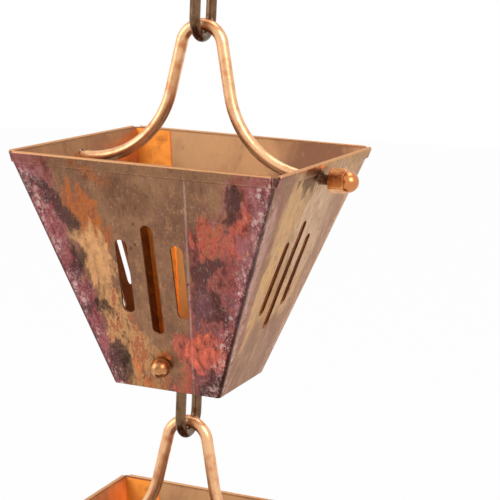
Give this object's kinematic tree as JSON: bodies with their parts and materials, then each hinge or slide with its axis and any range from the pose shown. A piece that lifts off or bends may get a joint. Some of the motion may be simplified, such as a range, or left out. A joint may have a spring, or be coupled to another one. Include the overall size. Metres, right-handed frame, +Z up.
{
  "type": "rain chain",
  "caption": "Hanging chain of square tapered copper cups with drain slots, slung on bent rods and wire links, which leads roof water down to the ground.",
  "frame": {"origin": "the point inside the top link's upper bend that bears on the hook", "axes": "+Z up along the hanging chain, X left to right along the hangers, Y front to back along the cross pins"},
  "size_m": [0.1324, 0.1094, 0.8349],
  "materials": {
    "cup_sheet": "flame-coloured copper sheet, lacquered satin",
    "hanger_rod": "bright drawn copper rod",
    "cap_nut": "polished copper",
    "cross_pin": "plain copper rod, dulled",
    "link_wire": "aged dark copper wire"
  },
  "bodies": {
    "top_link": {"top_link": "link_wire"},
    "hanger_1": {"hanger_1": "hanger_rod", "hanger_nut_left_1": "cap_nut", "hanger_nut_right_1": "cap_nut"},
    "cup_1": {"cup_1": "cup_sheet", "cross_pin_1": "cross_pin", "pin_nut_front_1": "cap_nut", "pin_nut_back_1": "cap_nut"},
    "link_1": {"link_1": "link_wire"},
    "hanger_2": {"hanger_2": "hanger_rod", "hanger_nut_left_2": "cap_nut", "hanger_nut_right_2": "cap_nut"},
    "cup_2": {"cup_2": "cup_sheet", "cross_pin_2": "cross_pin", "pin_nut_front_2": "cap_nut", "pin_nut_back_2": "cap_nut"},
    "link_2": {"link_2": "link_wire"},
    "hanger_3": {"hanger_3": "hanger_rod", "hanger_nut_left_3": "cap_nut", "hanger_nut_right_3": "cap_nut"},
    "cup_3": {"cup_3": "cup_sheet", "cross_pin_3": "cross_pin", "pin_nut_front_3": "cap_nut", "pin_nut_back_3": "cap_nut"},
    "link_3": {"link_3": "link_wire"},
    "hanger_4": {"hanger_4": "hanger_rod", "hanger_nut_left_4": "cap_nut", "hanger_nut_right_4": "cap_nut"},
    "cup_4": {"cup_4": "cup_sheet", "cross_pin_4": "cross_pin", "pin_nut_front_4": "cap_nut", "pin_nut_back_4": "cap_nut"},
    "link_4": {"link_4": "link_wire"},
    "hanger_5": {"hanger_5": "hanger_rod", "hanger_nut_left_5": "cap_nut", "hanger_nut_right_5": "cap_nut"},
    "cup_5": {"cup_5": "cup_sheet", "cross_pin_5": "cross_pin", "pin_nut_front_5": "cap_nut", "pin_nut_back_5": "cap_nut"},
    "link_5": {"link_5": "link_wire"}
  },
  "joints": [
    {"name": "hanger_1_swing", "type": "hinge", "parent": "top_link", "child": "hanger_1", "pos_m": [0, 0, -0.0308], "axis": [1, 0, 0], "range_deg": [-70, 70]},
    {"name": "cup_1_tip", "type": "hinge", "parent": "hanger_1", "child": "cup_1", "pos_m": [0, 0, -0.0862], "axis": [-1, 0, 0], "range_deg": [-70, 70]},
    {"name": "link_1_swing", "type": "hinge", "parent": "cup_1", "child": "link_1", "pos_m": [0, 0, -0.1607], "axis": [0, 1, 0], "range_deg": [-55, 55]},
    {"name": "hanger_2_swing", "type": "hinge", "parent": "link_1", "child": "hanger_2", "pos_m": [0, 0, -0.1894], "axis": [1, 0, 0], "range_deg": [-70, 70]},
    {"name": "cup_2_tip", "type": "hinge", "parent": "hanger_2", "child": "cup_2", "pos_m": [0, 0, -0.2448], "axis": [-1, 0, 0], "range_deg": [-70, 70]},
    {"name": "link_2_swing", "type": "hinge", "parent": "cup_2", "child": "link_2", "pos_m": [0, 0, -0.3193], "axis": [0, -1, 0], "range_deg": [-55, 55]},
    {"name": "hanger_3_swing", "type": "hinge", "parent": "link_2", "child": "hanger_3", "pos_m": [0, 0, -0.348], "axis": [1, 0, 0], "range_deg": [-70, 70]},
    {"name": "cup_3_tip", "type": "hinge", "parent": "hanger_3", "child": "cup_3", "pos_m": [0, 0, -0.4034], "axis": [-1, 0, 0], "range_deg": [-70, 70]},
    {"name": "link_3_swing", "type": "hinge", "parent": "cup_3", "child": "link_3", "pos_m": [0, 0, -0.4779], "axis": [0, 1, 0], "range_deg": [-55, 55]},
    {"name": "hanger_4_swing", "type": "hinge", "parent": "link_3", "child": "hanger_4", "pos_m": [0, 0, -0.5066], "axis": [1, 0, 0], "range_deg": [-70, 70]},
    {"name": "cup_4_tip", "type": "hinge", "parent": "hanger_4", "child": "cup_4", "pos_m": [0, 0, -0.562], "axis": [-1, 0, 0], "range_deg": [-70, 70]},
    {"name": "link_4_swing", "type": "hinge", "parent": "cup_4", "child": "link_4", "pos_m": [0, 0, -0.6365], "axis": [0, -1, 0], "range_deg": [-55, 55]},
    {"name": "hanger_5_swing", "type": "hinge", "parent": "link_4", "child": "hanger_5", "pos_m": [0, 0, -0.6652], "axis": [1, 0, 0], "range_deg": [-70, 70]},
    {"name": "cup_5_tip", "type": "hinge", "parent": "hanger_5", "child": "cup_5", "pos_m": [0, 0, -0.7206], "axis": [-1, 0, 0], "range_deg": [-70, 70]},
    {"name": "link_5_swing", "type": "hinge", "parent": "cup_5", "child": "link_5", "pos_m": [0, 0, -0.7951], "axis": [0, 1, 0], "range_deg": [-55, 55]}
  ]
}
